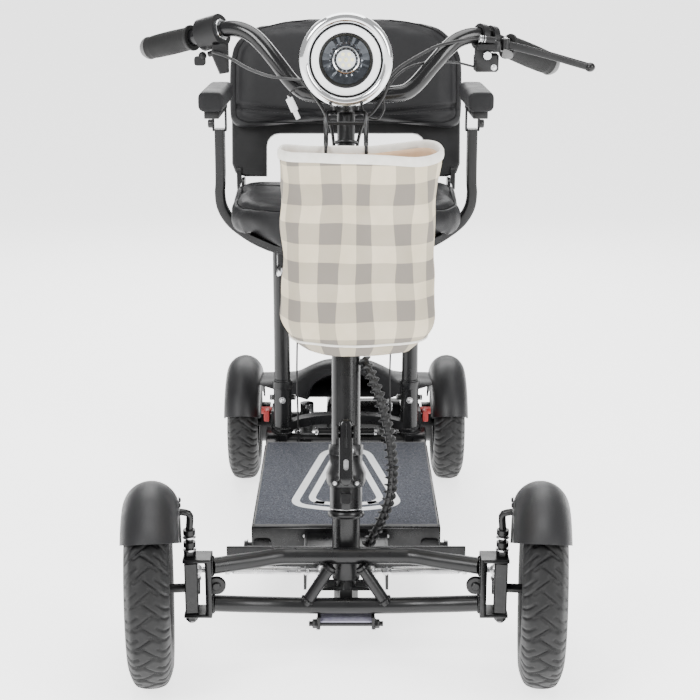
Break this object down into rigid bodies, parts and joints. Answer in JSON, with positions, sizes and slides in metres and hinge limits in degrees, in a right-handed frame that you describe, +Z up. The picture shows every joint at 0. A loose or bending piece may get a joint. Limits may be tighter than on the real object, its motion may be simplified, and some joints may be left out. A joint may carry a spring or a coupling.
{
  "type": "mobility scooter",
  "caption": "Folding four-wheel mobility scooter with a tiller, headlamp, canvas basket, flat deck, padded seat with armrests and a padded backrest.",
  "frame": {"origin": "middle of the footprint on the ground", "axes": "+Z up, +Y towards the back, +X towards the rider's left; the scooter faces -Y"},
  "size_m": [0.6517, 0.9916, 0.8575],
  "materials": {
    "black_powder_coat": "black powder coat, satin",
    "black_plastic": "moulded, fine texture",
    "tyre_rubber": "moulded rubber",
    "black_vinyl": "black imitation leather over foam",
    "grip_rubber": "moulded rubber",
    "deck_grit": "gritty anti-slip sheet",
    "zinc": "zinc plated",
    "lamp_glass": "clear",
    "red_plastic": "red plastic",
    "canvas": "woven canvas"
  },
  "bodies": {
    "scooter": {"upper_front_tube": "black_powder_coat", "lower_front_tube": "black_powder_coat", "kingpin_bracket_left": "black_powder_coat", "kingpin_bracket_right": "black_powder_coat", "head_tube": "black_powder_coat", "front_carrier": "black_powder_coat", "skid_plate": "black_powder_coat", "deck_tray": "black_powder_coat", "deck_mat": "deck_grit", "battery_pack": "black_plastic", "rear_frame": "black_powder_coat", "rear_axle": "black_powder_coat", "axle_buffer_left": "zinc", "axle_buffer_right": "zinc", "rear_cover": "black_plastic"},
    "steering": {"steering_shaft": "black_powder_coat", "column_harness": "black_plastic"},
    "stem": {"stem_hinge": "black_powder_coat", "stem_lower_tube": "black_powder_coat", "stem_harness": "black_plastic"},
    "latch": {"latch_lever": "black_powder_coat"},
    "handlebar": {"stem_upper_tube": "black_powder_coat", "handlebar": "black_powder_coat", "grip_left": "grip_rubber", "grip_right": "grip_rubber", "headlight_shell": "black_plastic", "headlight_lens": "lamp_glass", "throttle_housing": "black_plastic", "brake_perch": "black_plastic", "basket": "canvas", "basket_hanger": "black_powder_coat", "throttle_cable": "black_plastic", "brake_cable": "black_plastic"},
    "throttle": {"throttle_lever": "black_plastic"},
    "brake": {"brake_lever": "black_powder_coat"},
    "horn": {"horn_button": "red_plastic"},
    "seat": {"seat_cushion": "black_vinyl", "seat_frame": "black_powder_coat", "armrest_frame": "black_powder_coat"},
    "backrest": {"backrest_shell": "black_plastic", "backrest_cushion": "black_vinyl"},
    "seat_latch": {"seat_latch": "zinc"},
    "knuckle_left": {"knuckle_left": "black_powder_coat", "front_fender_left": "black_plastic"},
    "front_wheel_left": {"front_tyre_left": "tyre_rubber", "front_rim_left": "black_powder_coat"},
    "rear_wheel_left": {"rear_tyre_left": "tyre_rubber", "rear_rim_left": "black_powder_coat"},
    "tie_rod_left": {"tie_rod_left": "zinc"},
    "freewheel_left": {"freewheel_lever_left": "red_plastic"},
    "armrest_left": {"armrest_left": "black_vinyl"},
    "knuckle_right": {"knuckle_right": "black_powder_coat", "front_fender_right": "black_plastic"},
    "front_wheel_right": {"front_tyre_right": "tyre_rubber", "front_rim_right": "black_powder_coat"},
    "rear_wheel_right": {"rear_tyre_right": "tyre_rubber", "rear_rim_right": "black_powder_coat"},
    "tie_rod_right": {"tie_rod_right": "zinc"},
    "freewheel_right": {"freewheel_lever_right": "red_plastic"},
    "armrest_right": {"armrest_right": "black_vinyl"}
  },
  "joints": [
    {"name": "steer", "type": "hinge", "parent": "scooter", "child": "steering", "pos_m": [-0.0241, -0.27369, 0.19151], "axis": [0, 0.2756, 0.9613], "range_deg": [-20, 20]},
    {"name": "stem_fold", "type": "hinge", "parent": "steering", "child": "stem", "pos_m": [-0.0241, -0.23932, 0.22431], "axis": [1, 0, 0], "range_deg": [-7, 0]},
    {"name": "latch_swing", "type": "hinge", "parent": "stem", "child": "latch", "pos_m": [-0.0241, -0.27316, 0.31308], "axis": [1, 0, 0], "range_deg": [-33, 0]},
    {"name": "stem_height", "type": "slide", "parent": "stem", "child": "handlebar", "axis": [0, 0.2756, 0.9613], "range_m": [-0.04, 0.06]},
    {"name": "throttle_press", "type": "hinge", "parent": "handlebar", "child": "throttle", "pos_m": [-0.2191, -0.0585, 0.796], "axis": [0, 0, 1], "range_deg": [0, 22], "stiffness_Nm_per_rad": 0.15, "springref_deg": -5.73},
    {"name": "brake_pull", "type": "hinge", "parent": "handlebar", "child": "brake", "pos_m": [0.1964, -0.0745, 0.8105], "axis": [0, 0, 1], "range_deg": [0, 18], "stiffness_Nm_per_rad": 1.2, "springref_deg": -8.59},
    {"name": "horn_press", "type": "slide", "parent": "handlebar", "child": "horn", "axis": [0, 1, 0], "range_m": [0, 0.0015], "stiffness_N_per_m": 400, "springref_m": -0.001},
    {"name": "seat_height", "type": "slide", "parent": "scooter", "child": "seat", "axis": [0, 0, 1], "range_m": [0, 0.055]},
    {"name": "backrest_fold", "type": "hinge", "parent": "seat", "child": "backrest", "pos_m": [-0.0241, 0.3895, 0.54], "axis": [1, 0, 0], "range_deg": [0, 22]},
    {"name": "seat_latch_lift", "type": "hinge", "parent": "seat", "child": "seat_latch", "pos_m": [-0.1251, 0.1035, 0.452], "axis": [1, 0, 0], "range_deg": [-22, 0]},
    {"name": "knuckle_turn_left", "type": "hinge", "parent": "scooter", "child": "knuckle_left", "pos_m": [0.1804, -0.3625, 0.1275], "axis": [0, 0, 1], "range_deg": [-20, 20]},
    {"name": "front_wheel_spin_left", "type": "hinge", "parent": "knuckle_left", "child": "front_wheel_left", "pos_m": [0.23361, -0.36809, 0.1275], "axis": [0.9945, -0.1045, 0], "continuous": true},
    {"name": "rear_wheel_spin_left", "type": "hinge", "parent": "scooter", "child": "rear_wheel_left", "pos_m": [0.1606, 0.3775, 0.1045], "axis": [1, 0, 0], "continuous": true},
    {"name": "tie_rod_turn_left", "type": "hinge", "parent": "steering", "child": "tie_rod_left", "pos_m": [0.0109, -0.26128, 0.10421], "axis": [0, 0.2756, 0.9613], "range_deg": [-26, 26]},
    {"name": "armrest_lift_left", "type": "hinge", "parent": "seat", "child": "armrest_left", "pos_m": [0.1799, 0.215, 0.668], "axis": [1, 0, 0], "range_deg": [-80, 0]},
    {"name": "freewheel_release_left", "type": "hinge", "parent": "scooter", "child": "freewheel_left", "pos_m": [0.1149, 0.2855, 0.157], "axis": [1, 0, 0], "range_deg": [-40, 0]},
    {"name": "knuckle_turn_right", "type": "hinge", "parent": "scooter", "child": "knuckle_right", "pos_m": [-0.2286, -0.3625, 0.1275], "axis": [0, 0, 1], "range_deg": [-20, 20]},
    {"name": "front_wheel_spin_right", "type": "hinge", "parent": "knuckle_right", "child": "front_wheel_right", "pos_m": [-0.28181, -0.36809, 0.1275], "axis": [0.9945, 0.1045, 0], "continuous": true},
    {"name": "rear_wheel_spin_right", "type": "hinge", "parent": "scooter", "child": "rear_wheel_right", "pos_m": [-0.2088, 0.3775, 0.1045], "axis": [1, 0, 0], "continuous": true},
    {"name": "tie_rod_turn_right", "type": "hinge", "parent": "steering", "child": "tie_rod_right", "pos_m": [-0.0591, -0.26128, 0.10421], "axis": [0, 0.2756, 0.9613], "range_deg": [-26, 26]},
    {"name": "armrest_lift_right", "type": "hinge", "parent": "seat", "child": "armrest_right", "pos_m": [-0.2281, 0.215, 0.668], "axis": [1, 0, 0], "range_deg": [-80, 0]},
    {"name": "freewheel_release_right", "type": "hinge", "parent": "scooter", "child": "freewheel_right", "pos_m": [-0.1631, 0.2855, 0.157], "axis": [1, 0, 0], "range_deg": [-40, 0]}
  ],
  "couplings": [
    {"joint": "knuckle_turn_left", "follows": "steer", "ratio": 0.97},
    {"joint": "tie_rod_turn_left", "follows": "steer", "ratio": -1.2},
    {"joint": "knuckle_turn_right", "follows": "steer", "ratio": 0.97},
    {"joint": "tie_rod_turn_right", "follows": "steer", "ratio": -1.2}
  ]
}
